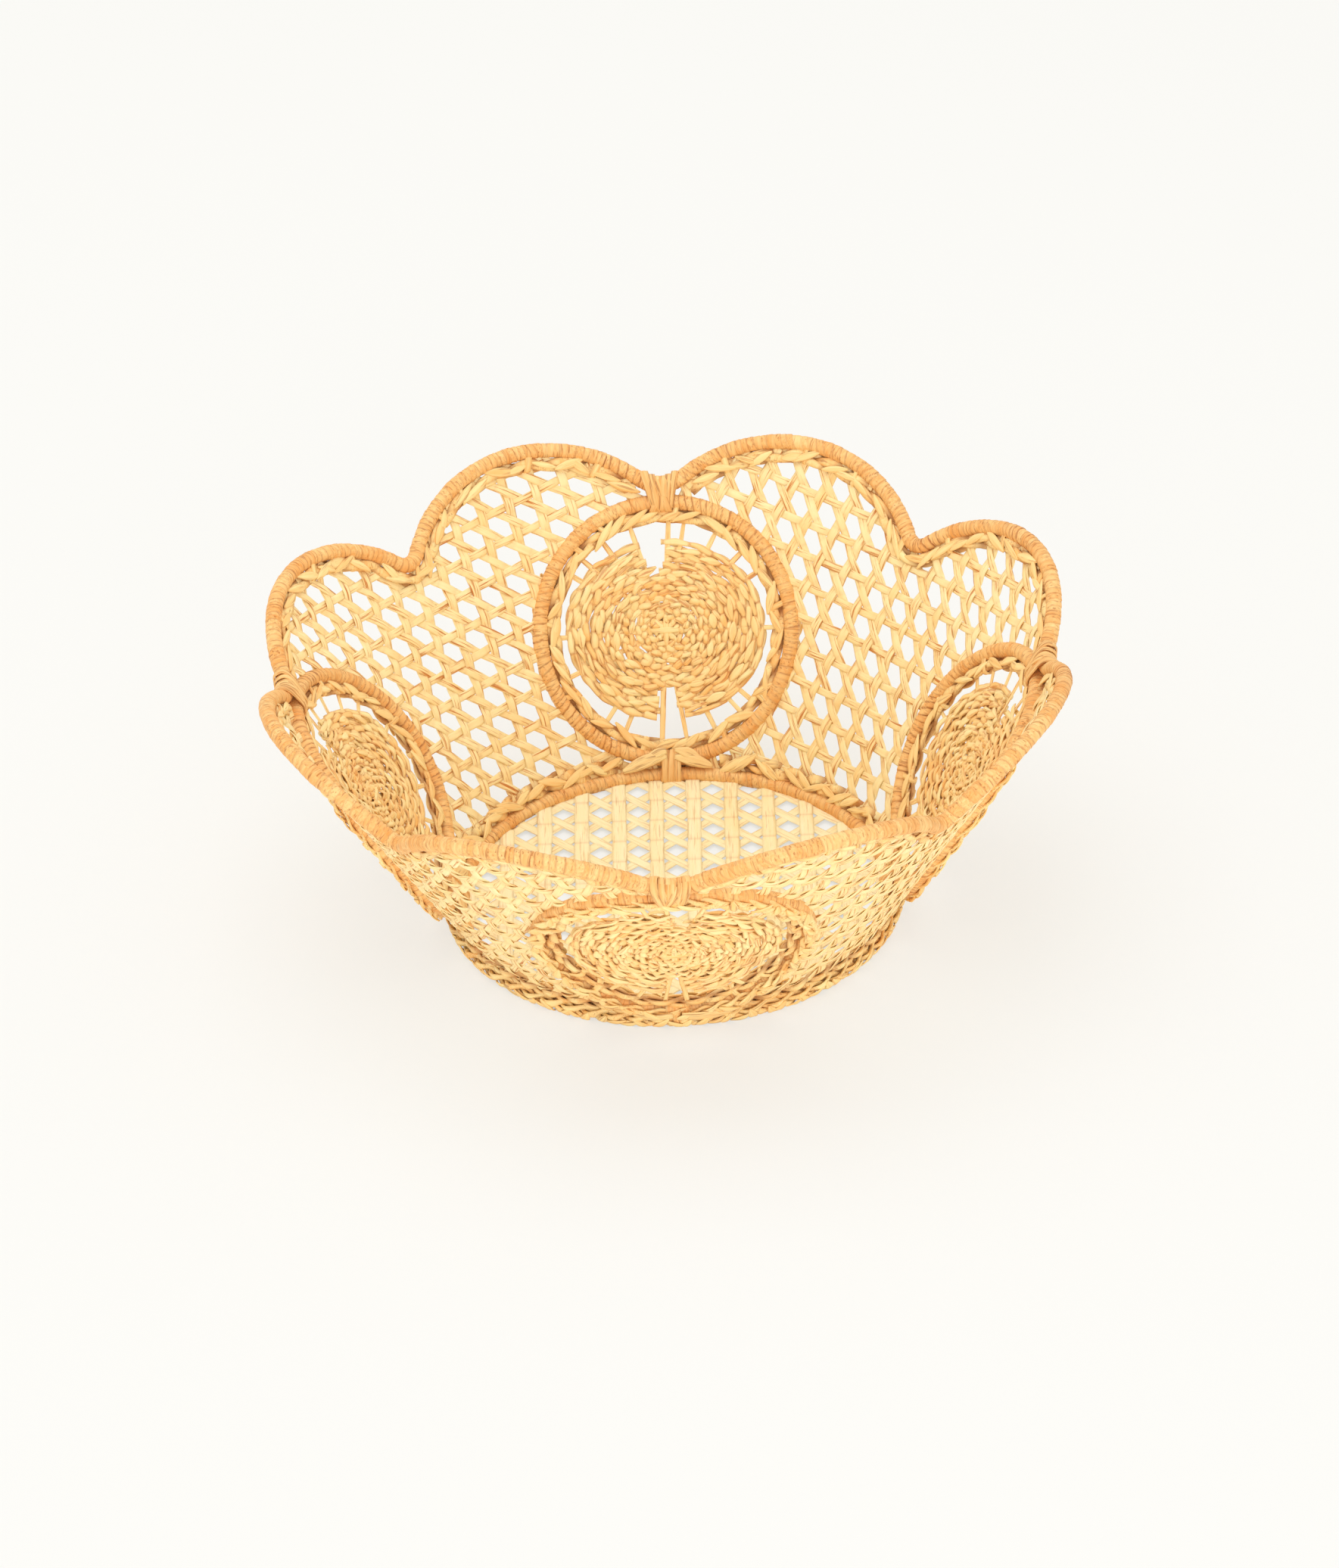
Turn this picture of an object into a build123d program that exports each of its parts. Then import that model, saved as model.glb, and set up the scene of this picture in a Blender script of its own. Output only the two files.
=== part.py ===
import math
import os

from build123d import *

os.makedirs("parts", exist_ok=True)

# A round, open basket of palm strips on a wire frame. Its wall is a cone that leans outward,
# so rim, medallions and netting are drawn on the wall laid flat and then rolled up into that cone.

# Driving sizes, in millimetres and degrees
base_radius = 73.0  # centre line of the hoop that the basket stands on
wall_lean = 31.85  # the wall leans out from upright by this angle
wire_diameter = 2.8  # steel wire of hoop, rim and medallion rings
wrap_thickness = 1.15  # palm wound round the wire
wrap_clearance = 0.2  # between wire and winding
seat_clearance = 0.15  # between neighbouring pieces
foot_flat = 0.5  # depth of the flat that the basket stands on
tube_sides = 8  # wires and windings are drawn with this many flats

medallion_radius = 44.75  # centre line of a ring, on the flat wall
scallop_radius = 54.0  # arc of each of the eight scallops of the rim
medallion_dip_radius = 12.0  # bend of the rim where it meets a medallion
quarter_dip_radius = 6.0  # bend of the rim midway between two medallions
quarter_dip_drop = 5.6  # how much lower on the wall the midway dips lie

braid_width = 4.0  # plaits along rim, rings and hoop
braid_thickness = 2.6

net_thickness = 1.1  # crossing palm strips
net_border = 0.9  # least width left between a gap and the edge of its net
wall_gap_pitch = 10.8  # from gap to gap along the wall
wall_row_pitch = 10.3  # from row to row up the wall
wall_row_shift = 1.5  # each row stands this much to one side of the row below
wall_strip_width = 3.0
wall_upright_width = 3.4
base_column_pitch = 12.9  # gaps of the bottom net, left to right
base_row_pitch = 12.5  # gaps of the bottom net, front to back
base_upright_width = 5.2
base_diagonal_width = 3.0
base_net_height = 0.9  # underside of the bottom net above the floor

disc_half_width = 35.0  # woven middle of a medallion
disc_half_height = 31.0
disc_thickness = 2.2
notch_width = 9.0  # slits in its top and bottom edge
notch_depth = 11.0
spoke_count = 24
spoke_width = 1.8
spoke_thickness = 0.8

lashing_width = 12.0  # bands that tie a ring to rim and hoop
lashing_thickness = 1.2

# Sizes that follow
side_count = 4
sin_lean = math.sin(math.radians(wall_lean))
cos_lean = math.cos(math.radians(wall_lean))
bore_radius = wire_diameter / 2 + wrap_clearance
tube_radius = bore_radius + wrap_thickness
seat_pitch = 2 * tube_radius + seat_clearance
hoop_height = tube_radius - foot_flat
half_panel = 180 / side_count * sin_lean

# Distances from the tip of the flat wall
hoop_reach = base_radius / sin_lean
ring_reach = hoop_reach + seat_pitch + medallion_radius
medallion_dip = ring_reach + medallion_radius + seat_pitch
quarter_dip = medallion_dip - quarter_dip_drop
braid_offset = tube_radius + seat_clearance + braid_width / 2
half_band = lashing_width / 2
hoop_bow = base_radius - math.sqrt(base_radius**2 - half_band**2)
wall_top = medallion_dip + scallop_radius

side_turns = {"front": -90, "right": 0, "back": 90, "left": 180}
panel_turns = {"front_right": -45, "back_right": 45, "back_left": 135, "front_left": 225}


def ray(reach, angle):
    """A point of the flat wall, by its distance from the tip and its angle from the panel's middle."""
    return Vector(reach * math.sin(math.radians(angle)), reach * math.cos(math.radians(angle)))


def wall_plane(spot, turn):
    """The plane that lies on the rolled wall at a flat spot, X and Y as on the flat wall.

    Distance from the tip becomes distance up the cone, and angle becomes a wider turn round it."""
    reach = math.hypot(spot.X, spot.Y)
    angle = math.atan2(spot.X, spot.Y)
    around = math.radians(turn) + angle / sin_lean
    sideways = Vector(-math.sin(around), math.cos(around), 0)
    upward = Vector(sin_lean * math.cos(around), sin_lean * math.sin(around), cos_lean)
    height = hoop_height + (reach - hoop_reach) * cos_lean
    place = Vector(reach * upward.X, reach * upward.Y, height)
    along = sideways * math.cos(angle) + upward * math.sin(angle)
    return Plane(place, x_dir=along, z_dir=sideways.cross(upward))


def bearing(centre, spot):
    """Direction from one flat spot to another, in degrees."""
    return math.degrees(math.atan2(spot.Y - centre.Y, spot.X - centre.X))


def arc_stops(centre, radius, start, end, count):
    """Stops along an arc of the flat wall, each a place and the heading there."""
    way = math.copysign(1, end - start)
    stops = []
    for step in range(count + 1):
        angle = math.radians(start + (end - start) * step / count)
        outward = Vector(math.cos(angle), math.sin(angle))
        stops.append((centre + outward * radius, Vector(-outward.Y, outward.X) * way))
    return stops


def rolled(stops, turn):
    """Places and headings of stops once the wall is rolled up."""
    bent = []
    for spot, heading in stops:
        plane = wall_plane(spot, turn)
        bent.append((plane.origin, plane.x_dir * heading.X + plane.y_dir * heading.Y))
    return bent


def seen_from(plane, bent):
    """Rolled stops as they look from straight in front of a plane, in its own X and Y."""
    flat = []
    for place, heading in bent:
        spot = plane.to_local_coords(place)
        way = plane.to_local_coords(place + heading) - spot
        flat.append((Vector(spot.X, spot.Y), Vector(way.X, way.Y).normalized()))
    return flat


def join_by_arcs(stops):
    """Join each two stops by a pair of arcs that share their tangent."""
    for (start, setting_out), (end, arriving) in zip(stops, stops[1:]):
        chord = end - start
        spread = chord.dot(setting_out + arriving)
        bend = 2 * (1 - setting_out.dot(arriving))
        reach = (math.sqrt(spread**2 + bend * chord.dot(chord)) - spread) / bend
        before = start + setting_out * reach
        after = end - arriving * reach
        middle = (before + after) / 2
        TangentArc(start, middle, tangent=setting_out)
        TangentArc(middle, end, tangent=after - before)


def section_plane(stops, turn):
    """The plane square to a rolled curve at its first stop, with its Y square to the wall."""
    spot, heading = stops[0]
    plane = wall_plane(spot, turn)
    along = plane.x_dir * heading.X + plane.y_dir * heading.Y
    return Plane(plane.origin, x_dir=plane.z_dir.cross(along), z_dir=along)


# The two dips and the scallop of half a panel, on the flat wall
quarter_bend = ray(quarter_dip + quarter_dip_radius, 0)
medallion_bend = ray(medallion_dip + medallion_dip_radius, half_panel)
ring_centre = ray(ring_reach, half_panel)
bend_gap = medallion_bend - quarter_bend
quarter_pull = scallop_radius + quarter_dip_radius
medallion_pull = scallop_radius + medallion_dip_radius
foot = (bend_gap.length**2 + quarter_pull**2 - medallion_pull**2) / (2 * bend_gap.length)
drop = math.sqrt(quarter_pull**2 - foot**2)
gap_way = bend_gap.normalized()
scallop_centre = quarter_bend + gap_way * foot + Vector(gap_way.Y, -gap_way.X) * drop
out_of_quarter = bearing(quarter_bend, scallop_centre)
into_medallion = bearing(medallion_bend, scallop_centre)
at_medallion = bearing(medallion_bend, Vector(0, 0))


def both_halves(half):
    """A run over a whole panel, from the run over its right half."""
    other = [(Vector(-spot.X, spot.Y), Vector(heading.X, -heading.Y)) for spot, heading in half[:0:-1]]
    return other + half


def scallop_stops(inset, last_bearing):
    """Half a panel of rim, from the middle dip over the scallop, moved down the wall by inset."""
    dip = arc_stops(quarter_bend, quarter_dip_radius + inset, -90, out_of_quarter, 1)
    over = arc_stops(scallop_centre, scallop_radius - inset, out_of_quarter + 180, last_bearing, 2)
    return dip + over[1:]


def ring_stops(radius):
    """A full circle round the middle of a medallion, starting at its foot."""
    return arc_stops(ray(ring_reach, 0), radius, -90, 270, 6)


rim_half = scallop_stops(0, into_medallion + 180)
rim_half += arc_stops(medallion_bend, medallion_dip_radius, into_medallion, at_medallion, 1)[1:]
rim_run = both_halves(rim_half)


def finish(piece, name):
    """Name a piece and write it out."""
    piece.label = name
    export_step(piece, f"parts/{name}.step")


def finish_all(piece, name, turns):
    """Write a piece and its copies round the basket, from a piece that stands at turn 0."""
    for place, turn in turns.items():
        finish(piece.rotate(Axis.Z, turn), f"{name}_{place}")


def upright_plane(turn):
    """The upright plane through the middle of the basket, X outward and Y up."""
    outward = Vector(math.cos(math.radians(turn)), math.sin(math.radians(turn)), 0)
    return Plane((0, 0, 0), x_dir=outward, z_dir=Vector(outward.Y, -outward.X, 0))


def braid_outline():
    """Cross-section of a plait, wide along the wall and slim through it."""
    half_width = braid_width / 2
    half_depth = braid_thickness / 2
    shoulder = half_width / 2
    Polygon(
        (-half_width, 0),
        (-shoulder, -half_depth),
        (shoulder, -half_depth),
        (half_width, 0),
        (shoulder, half_depth),
        (-shoulder, half_depth),
    )


def wall_cut(low, high, thickness):
    """Corners of an upright cut through the wall, between two distances from its tip."""
    corners = []
    for reach, lift in ((low, -1), (high, -1), (high, 1), (low, 1)):
        spot = wall_plane(ray(reach, 0), 0).from_local_coords((0, 0, lift * thickness / 2))
        corners.append((spot.X, spot.Z))
    return corners


# Base hoop: a wire ring wound with palm, worn flat underneath
hoop_spot = (base_radius, hoop_height)
with BuildPart() as base_hoop_wire:
    with BuildSketch(upright_plane(0)):
        with Locations(hoop_spot):
            RegularPolygon(wire_diameter / 2, tube_sides)
    revolve(axis=Axis.Z)
finish(base_hoop_wire.part, "base_hoop_wire")

with BuildPart() as base_hoop_wrap:
    with BuildSketch(upright_plane(0)):
        with Locations(hoop_spot):
            RegularPolygon(tube_radius, tube_sides)
            RegularPolygon(bore_radius, tube_sides, mode=Mode.SUBTRACT)
        with Locations((base_radius, 0)):
            Rectangle(2 * tube_radius, 2 * foot_flat, align=(Align.CENTER, Align.MAX), mode=Mode.SUBTRACT)
    revolve(axis=Axis.Z)
finish(base_hoop_wrap.part, "base_hoop_wrap")


def strip_gap(strips):
    """Corners of the gap left in the middle of crossing strips.

    Each kind of strip has its direction, and leaves a channel of twice its gap between neighbours."""
    edges = []
    for direction, gap in strips:
        square = Vector(-direction.Y, direction.X).normalized()
        edges += [(square, gap), (square * -1, gap)]
    edges.sort(key=lambda edge: math.atan2(edge[0].Y, edge[0].X))
    corners = []
    for (first, first_gap), (second, second_gap) in zip(edges, edges[1:] + edges[:1]):
        crossing = first.X * second.Y - first.Y * second.X
        across = (first_gap * second.Y - second_gap * first.Y) / crossing
        up = (second_gap * first.X - first_gap * second.X) / crossing
        corners.append(Vector(across, up))
    return corners


def channel(step, other_step, width):
    """Half the clear width between strips that run along step, when their rows lie other_step apart."""
    spacing = abs(step.X * other_step.Y - step.Y * other_step.X) / step.length
    return (spacing - width) / 2


# Bottom net: broad strips front to back, crossed by two sets of slanting strips, with room for lashings
notch_reach = tube_radius + hoop_bow + lashing_thickness + 2 * seat_clearance
net_radius = base_radius - tube_radius - seat_clearance
base_across = Vector(base_column_pitch, 0)
base_along = Vector(0, base_row_pitch)
rising = base_across + base_along
falling = base_across - base_along
base_gap = strip_gap(
    [
        (base_along, channel(base_along, base_across, base_upright_width)),
        (rising, channel(rising, base_across, base_diagonal_width)),
        (falling, channel(falling, base_across, base_diagonal_width)),
    ]
)
base_spots = []
gap_span = math.ceil(net_radius / min(base_column_pitch, base_row_pitch))
for column in range(-gap_span, gap_span + 1):
    for row in range(-gap_span, gap_span + 1):
        spot = base_across * column + base_along * row
        if all((spot + corner).length + net_border < base_radius - notch_reach for corner in base_gap):
            base_spots.append(spot)

with BuildPart() as base_net:
    with BuildSketch(Plane.XY.offset(base_net_height)):
        Circle(net_radius)
        with Locations(*base_spots):
            Polygon(*base_gap, align=None, mode=Mode.SUBTRACT)
        with PolarLocations(base_radius, side_count):
            Rectangle(2 * notch_reach, lashing_width + 2 * seat_clearance, mode=Mode.SUBTRACT)
    extrude(amount=net_thickness)
finish(base_net.part, "base_net")

# Rim: one long wire bent into eight scallops, wound with palm
with BuildPart() as rim_wire:
    with BuildLine():
        for turn in panel_turns.values():
            join_by_arcs(rolled(rim_run, turn))
    with BuildSketch(section_plane(rim_run, panel_turns["front_right"])):
        RegularPolygon(wire_diameter / 2, tube_sides)
    sweep(clean=False)
finish(rim_wire.part, "rim_wire")

# The winding is laid on in four lengths, one to a panel, whose ends meet under the top lashings
winding_gap = math.degrees(seat_clearance / 2 / medallion_dip_radius)
winding_half = scallop_stops(0, into_medallion + 180)
winding_half += arc_stops(
    medallion_bend, medallion_dip_radius, into_medallion, at_medallion - winding_gap, 1
)[1:]
winding_run = both_halves(winding_half)

with BuildPart() as rim_wrap:
    with BuildLine():
        join_by_arcs(rolled(winding_run, 0))
    with BuildSketch(section_plane(winding_run, 0)):
        RegularPolygon(tube_radius, tube_sides)
        RegularPolygon(bore_radius, tube_sides, rotation=180 / tube_sides, mode=Mode.SUBTRACT)
    sweep(clean=False)
finish_all(rim_wrap.part, "rim_wrap", panel_turns)

# Rim plaits: one under the rim of each panel, ending where it meets the medallion rings
plait_radius = scallop_radius - braid_offset
ring_distance = (ring_centre - scallop_centre).length
ring_berth = medallion_radius + braid_offset
plait_end = math.degrees(
    math.acos((ring_distance**2 + plait_radius**2 - ring_berth**2) / (2 * ring_distance * plait_radius))
)
plait_run = both_halves(scallop_stops(braid_offset, bearing(scallop_centre, ring_centre) + plait_end))

with BuildPart() as rim_plait:
    with BuildLine():
        join_by_arcs(rolled(plait_run, 0))
    with BuildSketch(section_plane(plait_run, 0)):
        braid_outline()
    sweep(clean=False)
finish_all(rim_plait.part, "rim_plait", panel_turns)

# Hoop plaits: one along the foot of each panel, between the medallion rings
hoop_plait_reach = hoop_reach + braid_offset
plait_turn = math.degrees(
    math.acos((hoop_plait_reach**2 + ring_reach**2 - ring_berth**2) / (2 * hoop_plait_reach * ring_reach))
)
hoop_plait_arc = 360 / side_count - 2 * plait_turn / sin_lean
hoop_plait_spot = wall_plane(ray(hoop_plait_reach, 0), 0)
hoop_plait_start = upright_plane(-hoop_plait_arc / 2)
with BuildPart() as hoop_plait:
    with BuildSketch(hoop_plait_start):
        with Locations(Location((hoop_plait_spot.origin.X, hoop_plait_spot.origin.Z), 90 - wall_lean)):
            braid_outline()
    revolve(axis=Axis.Z, revolution_arc=hoop_plait_arc)
finish_all(hoop_plait.part, "hoop_plait", panel_turns)

# Medallion rings: wire circles bent round the wall, wound with palm, a plait along the inside
ring_run = ring_stops(medallion_radius)
ring_plait_radius = medallion_radius - braid_offset
ring_plait_run = ring_stops(ring_plait_radius)

with BuildPart() as medallion_wire:
    with BuildLine():
        join_by_arcs(rolled(ring_run, 0))
    with BuildSketch(section_plane(ring_run, 0)):
        RegularPolygon(wire_diameter / 2, tube_sides)
    sweep(clean=False)
finish_all(medallion_wire.part, "medallion_wire", side_turns)

with BuildPart() as medallion_wrap:
    with BuildLine():
        join_by_arcs(rolled(ring_run, 0))
    with BuildSketch(section_plane(ring_run, 0)):
        RegularPolygon(tube_radius, tube_sides)
        RegularPolygon(bore_radius, tube_sides, mode=Mode.SUBTRACT)
    sweep(clean=False)
finish_all(medallion_wrap.part, "medallion_wrap", side_turns)

with BuildPart() as medallion_plait:
    with BuildLine():
        join_by_arcs(rolled(ring_plait_run, 0))
    with BuildSketch(section_plane(ring_plait_run, 0)):
        braid_outline()
    sweep(clean=False)
finish_all(medallion_plait.part, "medallion_plait", side_turns)

# Woven medallions: spokes of palm under rounds of weaving, slit at top and bottom
ring_turn = math.degrees(math.asin(medallion_radius / ring_reach)) / sin_lean
medallion_plane = wall_plane(ray(ring_reach, 0), 0)
spoke_reach = ring_stops(ring_plait_radius - braid_width / 2 - seat_clearance)
ring_foot = ring_reach - medallion_radius
ring_top = ring_reach + medallion_radius

with BuildPart() as disc:
    with BuildSketch(upright_plane(-ring_turn)):
        Polygon(*wall_cut(ring_foot, ring_top, disc_thickness), align=None)
    revolve(axis=Axis.Z, revolution_arc=2 * ring_turn)
    with BuildSketch(medallion_plane):
        Ellipse(disc_half_width, disc_half_height)
        for side in (-1, 1):
            Polygon(
                (0, side * (disc_half_height - notch_depth)),
                (-notch_width / 2, side * disc_half_height),
                (notch_width / 2, side * disc_half_height),
                align=None,
                mode=Mode.SUBTRACT,
            )
    extrude(amount=medallion_radius, both=True, mode=Mode.INTERSECT)

with BuildPart() as medallion_weave:
    with BuildSketch(upright_plane(-ring_turn)):
        Polygon(*wall_cut(ring_foot, ring_top, spoke_thickness), align=None)
    revolve(axis=Axis.Z, revolution_arc=2 * ring_turn)
    with BuildSketch(medallion_plane):
        with BuildLine():
            join_by_arcs(seen_from(medallion_plane, rolled(spoke_reach, 0)))
        make_face()
        with BuildSketch(mode=Mode.INTERSECT):
            with PolarLocations(0, spoke_count, start_angle=180 / spoke_count):
                Rectangle(medallion_radius, spoke_width, align=(Align.MIN, Align.CENTER))
    extrude(amount=medallion_radius, both=True, mode=Mode.INTERSECT)
    add(disc.part)
finish_all(medallion_weave.part, "medallion_weave", side_turns)

# Wall nets: three sets of strips cross so that six-sided gaps stay open between them
row_step = Vector(-wall_row_shift, wall_row_pitch)
gap_step = Vector(wall_gap_pitch, 0)
slant_step = gap_step + row_step
wall_gap = strip_gap(
    [
        (gap_step, channel(gap_step, row_step, wall_strip_width)),
        (row_step, channel(row_step, gap_step, wall_upright_width)),
        (slant_step, channel(slant_step, gap_step, wall_strip_width)),
    ]
)
net_inset = braid_offset + braid_width / 2 + seat_clearance
net_berth = medallion_radius + tube_radius + seat_clearance
net_foot = hoop_reach + net_inset


def in_net(spot):
    """Whether a flat spot lies inside the net of a panel, clear of hoop, rings and rim."""
    half_spot = Vector(abs(spot.X), spot.Y)
    over_scallop = 0 < bearing(scallop_centre, half_spot) < out_of_quarter + 180
    scallop_reach = (half_spot - scallop_centre).length
    return (
        bearing(Vector(0, 0), half_spot) > 90 - half_panel
        and half_spot.length > net_foot + net_border
        and (half_spot - ring_centre).length > net_berth + net_border
        and (half_spot - quarter_bend).length > quarter_dip_radius + net_inset + net_border
        and not (over_scallop and scallop_reach > scallop_radius - net_inset - net_border)
    )


wall_middle = ray((net_foot + quarter_dip) / 2, 0)
row_span = math.ceil(medallion_dip / wall_row_pitch)
wall_spots = []
for row in range(-row_span, row_span + 1):
    for column in range(-row_span, row_span + 1):
        spot = wall_middle + row_step * row + gap_step * column
        if all(in_net(spot + corner) for corner in wall_gap):
            wall_spots.append(spot)

net_end = math.degrees(
    math.acos(
        (ring_distance**2 + (scallop_radius - net_inset) ** 2 - net_berth**2)
        / (2 * ring_distance * (scallop_radius - net_inset))
    )
)
net_edge = scallop_stops(net_inset, bearing(scallop_centre, ring_centre) + net_end)
scallop_plane = wall_plane(scallop_centre, 0)
ring_plane = wall_plane(ring_centre, 0)
edge_seen = seen_from(scallop_plane, rolled(net_edge, 0))
ring_seen = seen_from(ring_plane, rolled(ring_stops(net_berth), 180 / side_count))
edge_start = edge_seen[0][0]
edge_end = edge_seen[-1][0]
beyond = 2 * scallop_radius

with BuildPart() as wall_net:
    with BuildSketch(upright_plane(0)):
        Polygon(*wall_cut(net_foot, wall_top, net_thickness), align=None)
    revolve(axis=Axis.Z, revolution_arc=180 / side_count)
    with BuildSketch(ring_plane):
        with BuildLine():
            join_by_arcs(ring_seen)
        make_face()
    extrude(amount=medallion_radius, both=True, mode=Mode.SUBTRACT)
    with BuildSketch(scallop_plane):
        with BuildLine():
            join_by_arcs(edge_seen)
            Polyline(
                edge_end,
                (beyond, edge_end.Y),
                (beyond, beyond),
                (-beyond, beyond),
                (-beyond, edge_start.Y),
                edge_start,
            )
        make_face()
    extrude(amount=scallop_radius, both=True, mode=Mode.SUBTRACT)
    mirror(about=upright_plane(0))
    with BuildSketch(*[wall_plane(spot, 0) for spot in wall_spots]):
        Polygon(*wall_gap, align=None)
    extrude(amount=net_thickness, both=True, mode=Mode.SUBTRACT)
finish_all(wall_net.part, "wall_net", panel_turns)

# Lashings: flat bands of palm that tie each ring to the rim above it and to the hoop below it
plait_fall = ring_plait_radius - math.sqrt(ring_plait_radius**2 - half_band**2)
rim_rise = medallion_dip_radius - math.sqrt(medallion_dip_radius**2 - half_band**2)
slot_width = 2 * (tube_radius + seat_clearance)
plait_foot = ring_reach - ring_plait_radius + plait_fall
plait_top = ring_reach + ring_plait_radius - plait_fall


def lashing_plane(reach):
    """The upright cut through a medallion, with its middle on the wall and X up the wall."""
    spot = wall_plane(ray(reach, 0), 0)
    return Plane(spot.origin, x_dir=spot.y_dir, z_dir=spot.x_dir)


top_span = medallion_dip + rim_rise - plait_top
with BuildPart() as top_lashing:
    with BuildSketch(lashing_plane(plait_top + top_span / 2)):
        SlotCenterToCenter(top_span, slot_width + 2 * lashing_thickness)
        SlotCenterToCenter(top_span, slot_width, mode=Mode.SUBTRACT)
    extrude(amount=half_band, both=True)
finish_all(top_lashing.part, "top_lashing", side_turns)

bottom_span = plait_foot - hoop_reach
with BuildPart() as bottom_lashing:
    with BuildSketch(lashing_plane(hoop_reach + bottom_span / 2)):
        SlotCenterToCenter(bottom_span, slot_width + 2 * (lashing_thickness + hoop_bow))
        SlotCenterToCenter(bottom_span, slot_width + 2 * hoop_bow, mode=Mode.SUBTRACT)
    extrude(amount=half_band, both=True)
    split(bisect_by=Plane.XY)
finish_all(bottom_lashing.part, "bottom_lashing", side_turns)
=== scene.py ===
import bpy
import numpy as np
from mathutils import Matrix


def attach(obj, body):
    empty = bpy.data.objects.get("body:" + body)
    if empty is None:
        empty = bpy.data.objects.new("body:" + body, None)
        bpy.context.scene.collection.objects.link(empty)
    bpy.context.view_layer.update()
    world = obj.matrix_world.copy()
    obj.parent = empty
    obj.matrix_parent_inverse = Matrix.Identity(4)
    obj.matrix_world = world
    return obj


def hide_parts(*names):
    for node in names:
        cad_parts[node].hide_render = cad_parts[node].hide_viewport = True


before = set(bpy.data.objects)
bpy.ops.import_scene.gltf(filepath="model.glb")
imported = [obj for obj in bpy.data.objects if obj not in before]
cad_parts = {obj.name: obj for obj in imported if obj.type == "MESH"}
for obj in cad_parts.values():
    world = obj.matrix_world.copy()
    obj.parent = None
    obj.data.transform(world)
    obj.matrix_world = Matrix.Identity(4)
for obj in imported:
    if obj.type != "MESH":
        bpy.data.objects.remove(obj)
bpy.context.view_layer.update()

# Frame wires: drawn steel wire bent into the base hoop, the scalloped rim and four rings.
# They carry the basket and lie hidden inside their windings, so the solids of the frame stay.
places_round = ("front", "right", "back", "left")
steel_dark = (150, 146, 140)
steel_bright = (186, 182, 176)
steel_grain = 900.0


class Dye:
    """One value of a finish: it wraps a socket, and plus, minus and times on it add Math nodes."""

    def __init__(self, tree, socket=None):
        self.tree = tree
        self.socket = socket

    def node(self, kind, settings, inputs, output=0):
        """Add a node, set it up, then feed its sockets with plain values or with other Dyes."""
        made = self.tree.nodes.new(kind)
        for key, value in settings.items():
            setattr(made, key, value)
        for key, value in inputs.items():
            if isinstance(value, Dye):
                self.tree.links.new(value.socket, made.inputs[key])
            else:
                made.inputs[key].default_value = value
        return Dye(self.tree, made.outputs[output] if made.outputs else None)

    def outlet(self, output):
        """Another outlet of the node that this value comes from."""
        return Dye(self.tree, self.socket.node.outputs[output])

    def maths(self, operation, first, second):
        """A Math node on two values."""
        return self.node("ShaderNodeMath", {"operation": operation}, {0: first, 1: second})

    def __add__(self, other):
        return self.maths("ADD", self, other)

    def __radd__(self, other):
        return self.maths("ADD", other, self)

    def __sub__(self, other):
        return self.maths("SUBTRACT", self, other)

    def __rsub__(self, other):
        return self.maths("SUBTRACT", other, self)

    def __mul__(self, other):
        return self.maths("MULTIPLY", self, other)

    def __rmul__(self, other):
        return self.maths("MULTIPLY", other, self)

    def between(self, low, high):
        """How far this value has come from low to high, held within 0 and 1."""
        limits = {"Value": self, "From Min": low, "From Max": high}
        return self.node("ShaderNodeMapRange", {}, limits)

    def blend(self, first, second):
        """A colour between two, this value being the share of the second."""
        return self.node("ShaderNodeMix", {"data_type": "RGBA"}, {0: self, 6: first, 7: second}, 2)

    def noise(self, spot, scale, detail):
        """Soft noise from 0 to 1 at a spot."""
        values = {"Vector": spot, "Scale": scale, "Detail": detail, "Roughness": 0.6}
        return self.node("ShaderNodeTexNoise", {}, values)


def screen(red, green, blue):
    """A colour given as it shows on a screen, 0 to 255, as light values."""
    share = np.array([red, green, blue]) / 255
    light = np.where(share <= 0.04045, share / 12.92, ((share + 0.055) / 1.055) ** 2.4)
    return (*light.tolist(), 1.0)


def new_finish(name):
    """An empty material, with a Dye that makes nodes in it."""
    finish = bpy.data.materials.new(name)
    finish.use_nodes = True
    finish.node_tree.nodes.clear()
    return finish, Dye(finish.node_tree)


steel, dye = new_finish("drawn_steel")
spot = dye.node("ShaderNodeTexCoord", {}, {}, "Object")
grain = dye.noise(spot, steel_grain, 3.0)
colour = grain.blend(screen(*steel_dark), screen(*steel_bright))
values = {"Base Color": colour, "Roughness": 0.3 + 0.2 * grain, "Metallic": 1.0}
sheen = dye.node("ShaderNodeBsdfPrincipled", {}, values)
dye.node("ShaderNodeOutputMaterial", {}, {0: sheen})
wire_nodes = ["base_hoop_wire", "rim_wire"] + ["medallion_wire_" + place for place in places_round]
for node in wire_nodes:
    wire_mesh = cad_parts[node].data
    wire_mesh.materials.clear()
    wire_mesh.materials.append(steel)

# Base hoop winding: split palm wound tight round the hoop's wire, turn beside turn.
# The turns differ a little in width and height, and are worn flat where the basket stands.
mm = 0.001
base_radius = 73.0
tube_radius = 2.75
hoop_height = 2.25
tube_facets = 18
tube_step = 0.36
turn_width = 2.3
turn_spread = (0.45, 1.55)
turn_lean = 0.75
turn_step = 0.1
turn_slope = 0.75
turn_uneven = 0.03
turn_lump = 0.022
lip_share = 0.2
# Painted shade between turns: its least share, and how it deepens in stretches taken as loosely wound.
least_shade = 0.25
loose_middle = 0.55
loose_spread = 0.45
loose_least = 0.45
lean_spacing = 11.0
lump_spacing = 6.0
loose_spacing = 22.0
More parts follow.
